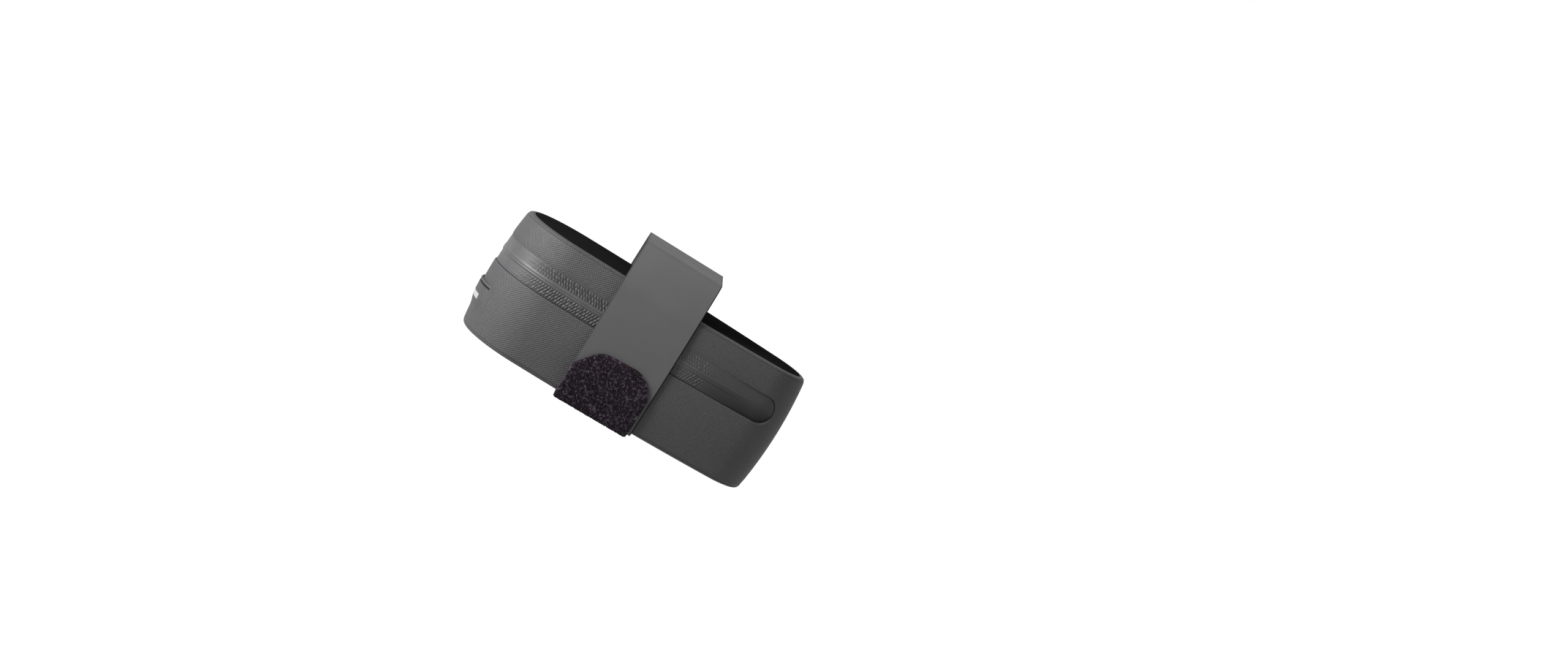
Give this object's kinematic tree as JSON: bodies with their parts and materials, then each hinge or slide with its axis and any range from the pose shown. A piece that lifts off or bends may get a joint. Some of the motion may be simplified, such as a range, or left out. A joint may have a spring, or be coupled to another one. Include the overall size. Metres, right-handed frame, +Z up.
{
  "type": "bicycle saddle bag",
  "caption": "Compact zipped saddle bag with a round rear and narrower nose, hung by one wide hook-and-loop strap that wraps the bag and passes over the saddle rails.",
  "frame": {"origin": "inner face of the strap's top run, midway between the two saddle rails that it bears on and in the middle of the strap's width", "axes": "+X forward along the bag towards its nose, +Y to the bag's left side, +Z up from the bag to the strap's top run"},
  "size_m": [0.1606, 0.0715, 0.0848],
  "materials": {
    "coated_cloth": "fine coated weave, satin",
    "panel_cloth": "plain dark cloth, matte",
    "zip_tape": "coated herringbone tape, satin",
    "zip_hardware": "satin",
    "patch_rubber": "smooth, satin, with a plain pale bar",
    "strap_coating": "smooth coated webbing, matte",
    "strap_pile": "fuzzy loop pile, matte"
  },
  "bodies": {
    "root": {"side_wall": "coated_cloth", "top_panel": "panel_cloth", "bottom_panel": "panel_cloth", "zip_tape_upper": "zip_tape", "zip_tape_lower": "zip_tape", "zip_slider": "zip_hardware", "rear_patch": "patch_rubber", "strap_band": "strap_coating", "strap_tab": "strap_pile"}
  },
  "joints": []
}
